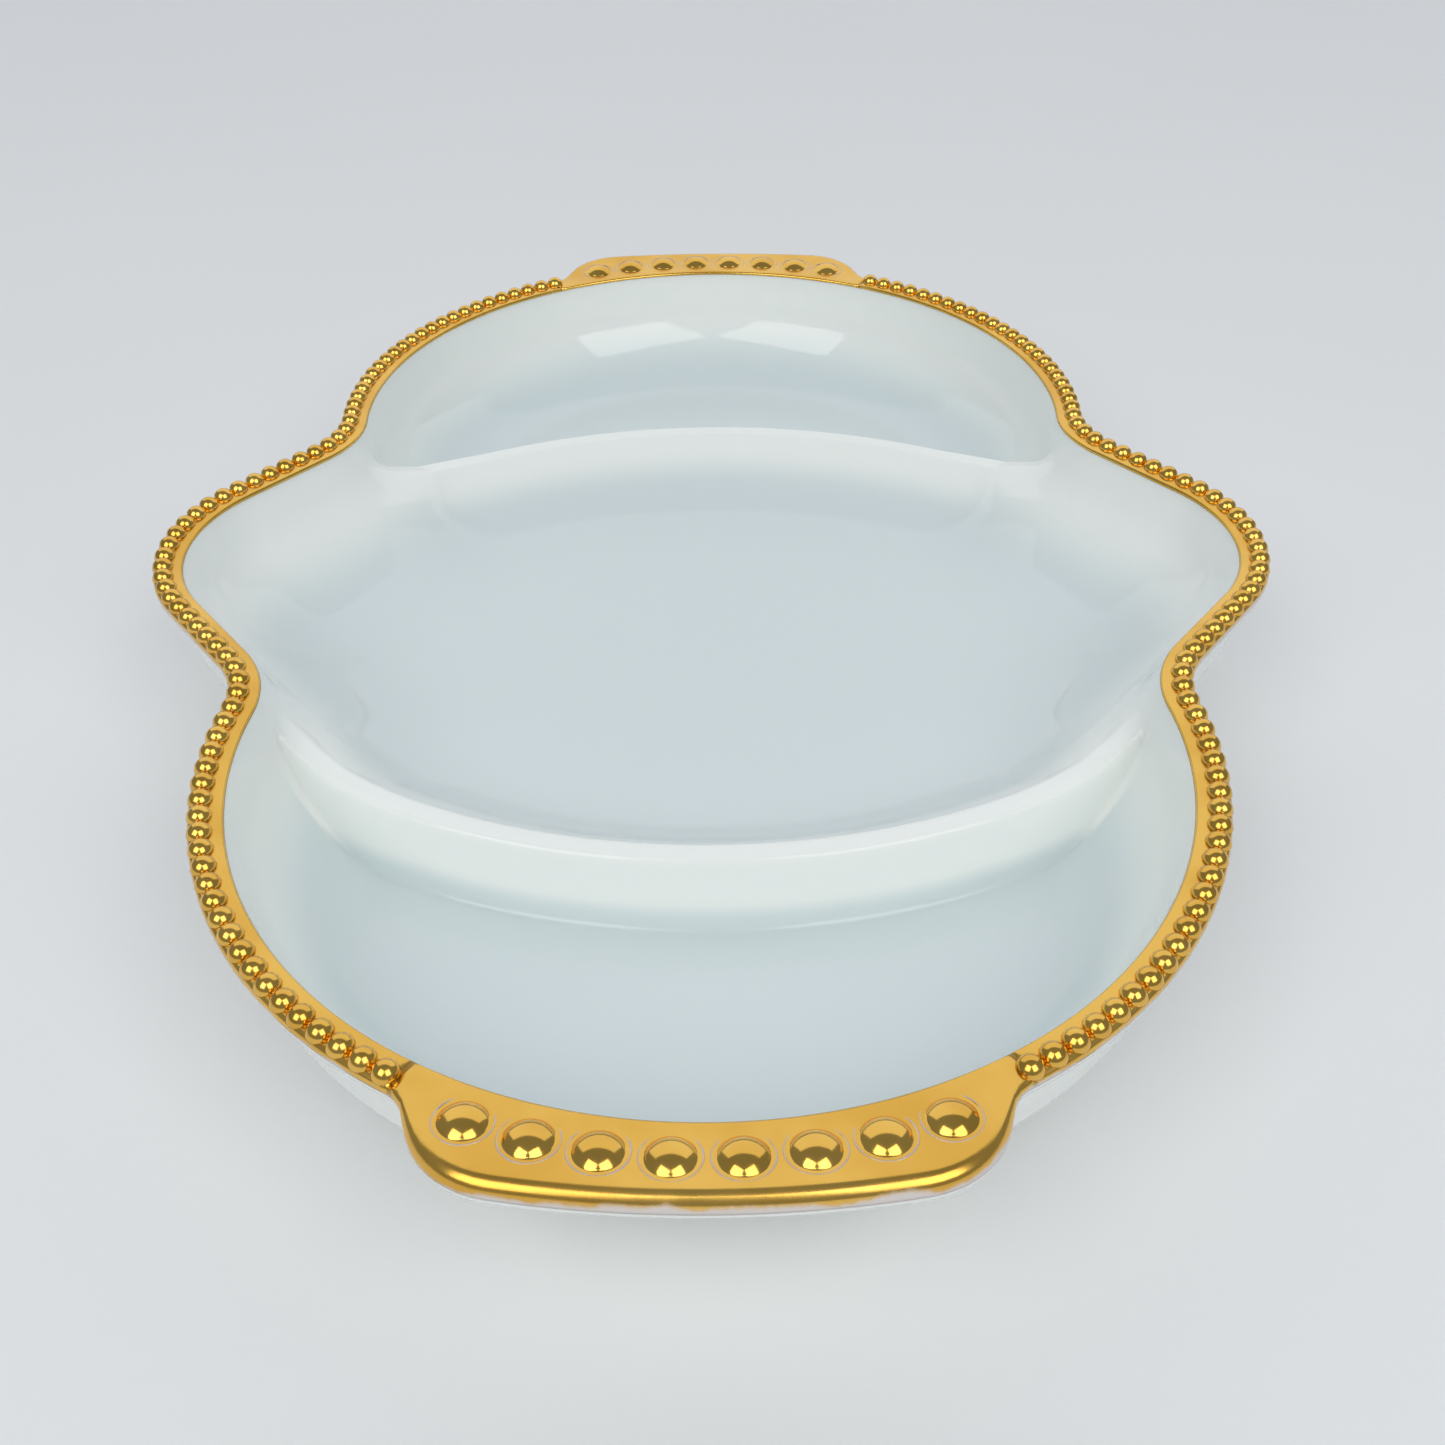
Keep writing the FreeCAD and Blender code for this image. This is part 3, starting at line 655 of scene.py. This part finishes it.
def build_glass():
    """The pressing: gridded inside, then ring after ring over the rim and down."""
    plan = Plan()
    layout = Layout(plan)
    inside = Inside(plan)
    rim = Rim(plan, layout)
    rows = len(layout.rows) - 1
    bm = bmesh.new()
    # Per point: how far the glass is painted lighter (thicker glass plus painted light) rather than
    # darker (painted shade on the floors).
    thick_and_lit_layer = bm.verts.layers.float.new("thick_glass_and_painted_light")
    grid = bmesh.ops.create_grid(bm, x_segments=COLUMNS, y_segments=rows, size=1)["verts"]
    if len(grid) != (COLUMNS + 1) * (rows + 1):
        raise RuntimeError("the grid has %d points" % len(grid))
    keyed = {}
    for vert in grid:
        column = round((vert.co.x + 1) / 2 * COLUMNS)
        row = round((vert.co.y + 1) / 2 * rows)
        keyed[row, column] = vert
    order = list(keyed)
    plan_points = np.array([layout.core_point(row, column) for row, column in order])
    outline = []
    for step in range(1400):
        point, _ = plan.at(plan.total * step / 1399)
        outline.append(tuple(point))
    outline = np.array(outline)
    folded = np.abs(plan_points)
    depth = np.full(len(folded), 1e9)
    for piece in np.array_split(outline, 40):
        gaps = np.hypot(folded[:, None, 0] - piece[None, :, 0], folded[:, None, 1] - piece[None, :, 1])
        depth = np.minimum(depth, gaps.min(axis=1))
    height = inside.height(plan_points[:, 0], plan_points[:, 1], depth)
    # Painted light and shade, with the thicker glass: raised faces lighter, floors darker.
    thick_glass_and_painted_light = inside.thick_glass_and_painted_light(plan_points[:, 0], plan_points[:, 1], height)
    for key, (x, y), z, shade in zip(order, plan_points, height, thick_glass_and_painted_light):
        keyed[key].co = metres((x, y, z))
        keyed[key][thick_and_lit_layer] = shade
    ring = [keyed[key] for key in layout.ring_grid()]
    for depth in INNER_DEPTHS:
        places = []
        shades = []
        for spot, out, band in rim.spots:
            point = spot - out * depth
            z = float(inside.height(point.x, point.y, depth))
            places.append((point.x, point.y, z))
            shades.append(float(inside.thick_glass_and_painted_light(point.x, point.y, z)))
        ring = grow_ring(bm, ring, places)
        for vert, shade in zip(ring, shades):
            vert[thick_and_lit_layer] = shade
    sections = [rim.section(band) + rim.outside(band) for _, _, band in rim.spots]
    for step in range(len(sections[0])):
        places = [rim.place(number, *line[step]) for number, line in enumerate(sections)]
        ring = grow_ring(bm, ring, places)
    bmesh.ops.edgeloop_fill(
        bm, edges=[edge for edge in bm.edges if edge.is_boundary]
    )
    piece = finished("opal_pressing", bm, ["pressed_opal"])
    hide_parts("glass_dish")
    return piece


GOLD_LIFT = 0.05      # the gold's outer face stands this far off the glass, mm
GOLD_SINK = 0.05      # and its inner face lies this far inside it, mm
GOLD_LAST = 21        # the last point of the rim's section that the gold covers


def gold_line(rim, number, lift):
    """The gold's section at a ring point, moved off the glass along its normal."""
    band = rim.spots[number][2]
    line = [(-0.22, -0.5), (-0.02, -0.1)] + rim.section(band)[:GOLD_LAST]
    moved = []
    for here, (reach, height) in enumerate(line):
        before = line[max(here - 1, 0)]
        after = line[min(here + 1, len(line) - 1)]
        tangent = Vector((after[0] - before[0], after[1] - before[1])).normalized()
        moved.append((reach - tangent.y * lift, height + tangent.x * lift))
    return moved


def build_gold(name, node, numbers, rim):
    """One stretch of the fired gold, from ring point to ring point, as a thin shell."""
    bm = bmesh.new()
    wear = bm.verts.layers.float.new("edge")
    points = len(gold_line(rim, numbers[0], 0))
    along = len(numbers) - 1
    bmesh.ops.create_grid(bm, x_segments=along, y_segments=points * 2, size=1)
    for vert in bm.verts:
        number = numbers[round((vert.co.x + 1) / 2 * along)]
        row = round((vert.co.y + 1) * points) % (points * 2)
        below = row >= points
        here = points * 2 - 1 - row if below else row
        reach, height = gold_line(rim, number, -GOLD_SINK if below else GOLD_LIFT)[here]
        vert.co = metres(rim.place(number, reach, height))
        vert[wear] = here / (points - 1)
    bmesh.ops.remove_doubles(bm, verts=bm.verts, dist=1e-8)
    bmesh.ops.holes_fill(bm, edges=[edge for edge in bm.edges if edge.is_boundary])
    piece = finished(name, bm, ["fired_gold_film"])
    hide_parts(node)
    return piece


def gold_stretches(plan, layout):
    """Ring points of the two tabs and the two sides, each stretch in order."""
    count = len(layout.ring)
    grip_way = plan.total - plan.grip * sizes().end_radius
    on_tab = [way > grip_way for way, _, _ in layout.ring]
    starts = [here for here in range(count) if on_tab[here] != on_tab[here - 1]]
    stretches = {}
    for begin, stop in zip(starts, starts[1:] + starts[:1]):
        length = (stop - begin) % count
        numbers = [(begin + step) % count for step in range(length + 1)]
        middle = layout.ring[numbers[length // 2]]
        if on_tab[begin]:
            stretches["front" if middle[2] < 0 else "back"] = numbers
        else:
            stretches["right" if middle[1] > 0 else "left"] = numbers
    return stretches


def dome_profile(base, rise, steps):
    """(radius, height) points of a cap from its crown to its foot, in millimetres."""
    radius = (base * base / 4 + rise * rise) / (2 * rise)
    foot = math.acos((radius - rise) / radius)
    points = []
    for step in range(steps + 1):
        turn = foot * step / steps
        points.append((radius * math.sin(turn), radius * math.cos(turn) - radius + rise))
    return points


def stencil_of(bm):
    mesh = bpy.data.meshes.new("stencil")
    bm.to_mesh(mesh)
    bm.free()
    return mesh


def build_beads(name, node, east, plan):
    """The row of gilded beads on one side of the rim."""
    s = sizes()
    rise = s.bead_height - 0.32
    profile = dome_profile(s.bead_base, rise, 5) + [(s.bead_base / 2, -0.35)]
    stencil = stencil_of(spun(profile, 14))
    grip = plan.total - plan.grip * s.end_radius - 0.3 * s.bead_base
    steps = 1200
    walk = [0.0]
    spots = []
    for step in range(steps + 1):
        point, normal = plan.at(grip * step / steps)
        spots.append(point + normal * s.bead_line)
    for before, here in zip(spots, spots[1:]):
        walk.append(walk[-1] + (here - before).length)
    count = round(walk[-1] / s.bead_pitch)
    bm = bmesh.new()
    level = plan.rim_level + 0.24
    for number in range(-count, count + 1):
        here = int(np.searchsorted(walk, walk[-1] * abs(number) / count))
        spot = spots[min(here, steps)]
        stamp(bm, stencil, (spot.x * east, spot.y * sign(number), level), (0, 0, 1))
    bpy.data.meshes.remove(stencil)
    piece = finished(name, bm, ["gilded_bead"])
    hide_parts(node)
    return piece


def build_bosses(name, node, north, plan, rim):
    """The row of gilded bosses on one tab, each in a worn hairline ring."""
    s = sizes()
    half = s.boss_base / 2
    profile = dome_profile(s.boss_base, s.boss_rise, 9)
    profile += [(half + 0.16, -0.03), (half + 0.34, -0.05), (half + 0.44, 0.06)]
    profile += [(half + 0.54, 0.09), (half + 0.64, 0.06), (half + 0.78, -0.16)]
    bm_one = spun(profile, 40)
    ring = half + 0.40, half + 0.70
    for face in bm_one.faces:
        middle = face.calc_center_median()
        face.material_index = int(ring[0] < math.hypot(middle.x, middle.y) < ring[1])
    stencil = stencil_of(bm_one)
    row = s.end_radius + s.boss_line
    slope = math.radians(s.tab_slope)
    middle_band = max(band for _, _, band in rim.spots)
    level = plan.rim_level + rim.top(s.boss_line, middle_band) + GOLD_LIFT
    bm = bmesh.new()
    for number in range(BOSSES):
        bearing = (number - (BOSSES - 1) / 2) * s.boss_pitch / row
        out = Vector((math.sin(bearing), north * math.cos(bearing)))
        spot = out * row + Vector((0, north * s.end_centre))
        normal = (-out.x * math.sin(slope), -out.y * math.sin(slope), math.cos(slope))
        stamp(bm, stencil, (spot.x, spot.y, level), normal)
    bpy.data.meshes.remove(stencil)
    piece = finished(name, bm, ["gilded_boss", "worn_ring"])
    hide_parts(node)
    return piece


# ---------------------------------------------------------------- shader recipes

def socket(sockets, name):
    """The live socket of a name, among the twins that a Mix node has."""
    return next(item for item in sockets if item.name == name and item.enabled)


class Wire:
    """A value socket that grows Math nodes when it is reckoned with."""

    def __init__(self, recipe, out):
        self.recipe = recipe
        self.out = out

    def maths(self, operation, first, second):
        node = self.recipe.node(
            "ShaderNodeMath", {"operation": operation}, {0: first, 1: second}
        )
        return Wire(self.recipe, node.outputs[0])

    def __add__(self, other):
        return self.maths("ADD", self, other)

    def __sub__(self, other):
        return self.maths("SUBTRACT", self, other)

    def __mul__(self, other):
        return self.maths("MULTIPLY", self, other)

    def __rsub__(self, other):
        return self.maths("SUBTRACT", other, self)

    __radd__ = __add__
    __rmul__ = __mul__

    def step(self, low, high):
        """Smooth step of the value from 0 at low to 1 at high."""
        node = self.recipe.node(
            "ShaderNodeMapRange", {"interpolation_type": "SMOOTHSTEP"},
            {"Value": self, "From Min": low, "From Max": high},
        )
        return Wire(self.recipe, node.outputs["Result"])


class Recipe:
    """One material and the nodes in it."""

    def __init__(self, name):
        self.material = bpy.data.materials.new(name)
        self.material.use_nodes = True
        self.tree = self.material.node_tree
        self.tree.nodes.clear()
        self.shader = self.node("ShaderNodeBsdfPrincipled")
        self.node("ShaderNodeOutputMaterial", {}, {"Surface": self.shader.outputs[0]})
        self.place = self.node("ShaderNodeTexCoord").outputs["Object"]

    def node(self, kind, settings=None, inputs=None):
        """Adds a node: its settings first, then its sockets' values or links."""
        node = self.tree.nodes.new(kind)
        for key, value in (settings or {}).items():
            setattr(node, key, value)
        for key, value in (inputs or {}).items():
            target = node.inputs[key] if isinstance(key, int) else socket(node.inputs, key)
            if isinstance(value, Wire):
                value = value.out
            if isinstance(value, bpy.types.NodeSocket):
                self.tree.links.new(value, target)
            else:
                target.default_value = value
        return node

    def noise(self, scale, detail=3.0, stretch=None):
        """Cloudy values around one half, over object coordinates."""
        vector = self.place
        if stretch:
            mapping = self.node("ShaderNodeMapping", {}, {"Vector": vector, "Scale": stretch})
            vector = mapping.outputs[0]
        node = self.node(
            "ShaderNodeTexNoise", {}, {"Vector": vector, "Scale": scale, "Detail": detail}
        )
        return Wire(self, node.outputs[0])

    def attribute(self, name):
        node = self.node("ShaderNodeAttribute", {"attribute_name": name})
        return Wire(self, node.outputs["Fac"])

    def mix(self, share, first, second):
        node = self.node(
            "ShaderNodeMix", {"data_type": "RGBA"}, {"Factor": share, "A": first, "B": second}
        )
        return socket(node.outputs, "Result")

    def bump(self, height, distance, strength=1.0):
        node = self.node(
            "ShaderNodeBump", {}, {"Height": height, "Distance": distance, "Strength": strength}
        )
        self.link(node.outputs[0], "Normal")

    def link(self, value, name):
        value = value.out if isinstance(value, Wire) else value
        self.tree.links.new(value, socket(self.shader.inputs, name))

    def set(self, **values):
        for name, value in values.items():
            socket(self.shader.inputs, name.replace("_", " ")).default_value = value


def rgba(colour):
    return (*colour, 1.0)


def make_opal_glass():
    """White opal glass: glossy, with painted shade making the floors darker and bluer, and painted
    light making the walls and dividers lighter and warmer, partly also for the thicker glass.
    """
    look = finish()
    recipe = Recipe("pressed_opal")
    clouds = recipe.noise(9.0, 2.0)
    # Painted light and shade from the mesh's mask, plus random cloudy tone: lighter on walls and
    # dividers, darker on the floors.
    thick_glass_and_painted_light = recipe.attribute("thick_glass_and_painted_light") + (clouds - 0.5) * 0.16
    recipe.link(recipe.mix(thick_glass_and_painted_light.step(0.0, 1.0), rgba(look.opal_thin_and_painted_shade), rgba(look.opal_thick_and_painted_light)),
                "Base Color")
    smears = recipe.noise(38.0, 4.0).step(0.52, 0.75)
    recipe.link(0.05 + smears * 0.05, "Roughness")
    recipe.bump(recipe.noise(16.0, 1.0), 0.00025, 0.25)
    recipe.set(IOR=1.5, Subsurface_Weight=0.25, Subsurface_Radius=(0.9, 1.0, 1.1),
               Subsurface_Scale=0.004)
    return recipe.material


def gold_colours(recipe, scale):
    look = finish()
    blotches = recipe.noise(scale, 3.0).step(0.35, 0.7)
    return recipe.mix(blotches, rgba(look.gold), rgba(look.gold_deep))


def make_fired_gold():
    """Fired gold on glass: satin bright, brushed by wiping and worn at the outer edge."""
    recipe = Recipe("fired_gold_film")
    edge = recipe.attribute("edge")
    rubbing = recipe.noise(170.0, 4.0, (1.0, 1.0, 0.4))
    patches = recipe.noise(26.0, 2.0)
    worn = (edge * 1.5 + rubbing * 0.55 + patches * 0.55).step(1.86, 2.04)
    recipe.link(recipe.mix(worn, gold_colours(recipe, 60.0), rgba(finish().bare)), "Base Color")
    recipe.link(1 - worn, "Metallic")
    recipe.link(0.16 + rubbing * 0.14 + worn * 0.15, "Roughness")
    recipe.bump(recipe.noise(900.0, 2.0, (1.0, 0.15, 1.0)), 0.00002, 0.35)
    return recipe.material


def make_gilded_bead():
    """Gold on the beads: brighter and smoother than on the flats."""
    recipe = Recipe("gilded_bead")
    rubbing = recipe.noise(420.0, 3.0)
    recipe.link(gold_colours(recipe, 130.0), "Base Color")
    recipe.link(0.10 + rubbing * 0.14, "Roughness")
    recipe.bump(recipe.noise(1400.0, 2.0), 0.00002, 0.3)
    recipe.set(Metallic=1.0)
    return recipe.material


def make_gilded_boss():
    """Gold on the tab bosses: mirror bright with fine wiping marks."""
    recipe = Recipe("gilded_boss")
    rubbing = recipe.noise(600.0, 3.0, (1.0, 0.3, 1.0))
    recipe.link(gold_colours(recipe, 90.0), "Base Color")
    recipe.link(0.08 + rubbing * 0.10, "Roughness")
    recipe.bump(recipe.noise(1200.0, 2.0), 0.00002, 0.25)
    recipe.set(Metallic=1.0)
    return recipe.material


def make_worn_ring():
    """The hairline round each boss, where the gold is rubbed through."""
    recipe = Recipe("worn_ring")
    patches = recipe.noise(500.0, 2.0).step(0.35, 0.6)
    recipe.link(recipe.mix(patches, (0.60, 0.52, 0.50, 1), (0.72, 0.52, 0.30, 1)), "Base Color")
    recipe.link(0.3 + patches * 0.1, "Roughness")
    recipe.set(Metallic=0.35)
    return recipe.material


def make_floor_paper():
    """Plain pale floor with a trace of unevenness."""
    recipe = Recipe("floor_paper")
    paper = finish().paper
    darker = tuple(part * 0.97 for part in paper)
    recipe.link(recipe.mix(recipe.noise(6.0, 2.0), rgba(paper), rgba(darker)), "Base Color")
    recipe.set(Roughness=0.75)
    return recipe.material


# ---------------------------------------------------------------- stage

LENS = 38.82          # mm, on a 36 mm wide sensor
CAMERA_PLACE = (2.38, -240.41, 143.18)   # from the middle of the mouth, mm
CAMERA_PITCH = 37.38  # degrees below level
CAMERA_YAW = 0.146    # degrees to the left
CAMERA_ROLL = 0.516   # degrees clockwise


def add_camera():
    data = bpy.data.cameras.new("camera")
    data.lens = LENS
    data.sensor_width = 36.0
    data.clip_start = 0.01
    camera = bpy.data.objects.new("camera", data)
    bpy.context.scene.collection.objects.link(camera)
    turn = Matrix.Rotation(math.radians(CAMERA_YAW), 4, "Z")
    tilt = Matrix.Rotation(math.radians(90 - CAMERA_PITCH), 4, "X")
    roll = Matrix.Rotation(math.radians(-CAMERA_ROLL), 4, "Z")
    x, y, z = CAMERA_PLACE
    place = Matrix.Translation(metres((x, y, z + RIM_LEVEL)))
    camera.matrix_world = place @ turn @ tilt @ roll
    bpy.context.scene.camera = camera


def add_lamp(name, place, size, power, colour):
    """A soft rectangular lamp that faces the dish."""
    data = bpy.data.lights.new(name, "AREA")
    data.shape = "RECTANGLE"
    data.size = size[0]
    data.size_y = size[1]
    data.energy = power
    data.color = colour
    lamp = bpy.data.objects.new(name, data)
    lamp.location = place
    lamp.rotation_euler = Vector(place).to_track_quat("Z", "Y").to_euler()
    bpy.context.scene.collection.objects.link(lamp)


def build_floor():
    bm = bmesh.new()
    bmesh.ops.create_grid(bm, x_segments=1, y_segments=1, size=3.0)
    mesh = bpy.data.meshes.new("floor")
    bm.to_mesh(mesh)
    bm.free()
    floor = bpy.data.objects.new("floor", mesh)
    mesh.materials.append(bpy.data.materials["floor_paper"])
    bpy.context.scene.collection.objects.link(floor)


def set_world():
    world = bpy.data.worlds.new("studio")
    world.use_nodes = True
    background = world.node_tree.nodes["Background"]
    background.inputs["Color"].default_value = (0.80, 0.88, 1.0, 1)
    background.inputs["Strength"].default_value = 0.30
    bpy.context.scene.world = world


# ---------------------------------------------------------------- operators and panel

def parts_plan():
    plan = Plan()
    layout = Layout(plan)
    return plan, layout, Rim(plan, layout)


class DISH_OT_finishes(bpy.types.Operator):
    """Make the materials of the dish and the floor"""

    bl_idname = "dish.finishes"
    bl_label = "Make finishes"

    def execute(self, context):
        for make in (make_opal_glass, make_fired_gold, make_gilded_bead,
                     make_gilded_boss, make_worn_ring, make_floor_paper):
            make()
        return {"FINISHED"}


class DISH_OT_glass(bpy.types.Operator):
    """Build the opal glass pressing with its three compartments"""

    bl_idname = "dish.glass"
    bl_label = "Build glass"

    def execute(self, context):
        build_glass()
        return {"FINISHED"}


class DISH_OT_gilding(bpy.types.Operator):
    """Lay the fired gold on both sides of the rim and on both tabs"""

    bl_idname = "dish.gilding"
    bl_label = "Lay gilding"

    def execute(self, context):
        plan, layout, rim = parts_plan()
        stretches = gold_stretches(plan, layout)
        for side in ("left", "right"):
            build_gold(side + "_rim_gold", side + "_rim_gilding", stretches[side], rim)
        for end in ("front", "back"):
            build_gold(end + "_tab_gold", end + "_tab_gilding", stretches[end], rim)
        return {"FINISHED"}


class DISH_OT_beads(bpy.types.Operator):
    """Set the gilded beads along both sides of the rim"""

    bl_idname = "dish.beads"
    bl_label = "Set beads"

    def execute(self, context):
        plan = Plan()
        for side, east in (("left", -1), ("right", 1)):
            build_beads(side + "_beads", side + "_rim_beads", east, plan)
        return {"FINISHED"}


class DISH_OT_bosses(bpy.types.Operator):
    """Set the gilded bosses on both tabs"""

    bl_idname = "dish.bosses"
    bl_label = "Set bosses"

    def execute(self, context):
        plan, _, rim = parts_plan()
        for end, north in (("front", -1), ("back", 1)):
            build_bosses(end + "_bosses", end + "_tab_bosses", north, plan, rim)
        return {"FINISHED"}


class DISH_OT_stage(bpy.types.Operator):
    """Set the floor, the lamps, the world and the camera"""

    bl_idname = "dish.stage"
    bl_label = "Set stage"

    def execute(self, context):
        context.scene.view_settings.view_transform = "Standard"
        build_floor()
        set_world()
        add_lamp("left_softbox", (-0.62, -0.85, 1.05), (0.9, 1.0), 6.6, (1.0, 0.995, 0.98))
        add_lamp("right_softbox", (0.62, -0.85, 1.05), (0.9, 1.0), 6.6, (1.0, 0.995, 0.98))
        add_lamp("back_panel", (0.0, 1.6, 1.2), (4.4, 2.3), 21.0, (1.0, 1.0, 1.0))
        add_camera()
        return {"FINISHED"}


STEPS = (
    DISH_OT_finishes, DISH_OT_glass, DISH_OT_gilding, DISH_OT_beads, DISH_OT_bosses,
    DISH_OT_stage,
)


class DISH_PT_panel(bpy.types.Panel):
    """The steps that build the dish, in order"""

    bl_idname = "DISH_PT_panel"
    bl_label = "Divided dish"
    bl_space_type = "VIEW_3D"
    bl_region_type = "UI"
    bl_category = "Dish"

    def draw(self, context):
        for step in STEPS:
            self.layout.operator(step.bl_idname)
        for group in (context.scene.dish_sizes, context.scene.dish_finish):
            for name in group.__annotations__:
                self.layout.prop(group, name)


CLASSES = (DishSizes, DishFinish, *STEPS, DISH_PT_panel)


def register():
    for item in CLASSES:
        bpy.utils.register_class(item)
    bpy.types.Scene.dish_sizes = bpy.props.PointerProperty(type=DishSizes)
    bpy.types.Scene.dish_finish = bpy.props.PointerProperty(type=DishFinish)


def unregister():
    del bpy.types.Scene.dish_finish
    del bpy.types.Scene.dish_sizes
    for item in reversed(CLASSES):
        bpy.utils.unregister_class(item)


def main():
    register()
    bpy.ops.dish.finishes()
    bpy.ops.dish.glass()
    bpy.ops.dish.gilding()
    bpy.ops.dish.beads()
    bpy.ops.dish.bosses()
    bpy.ops.dish.stage()


if __name__ == "__main__":
    main()
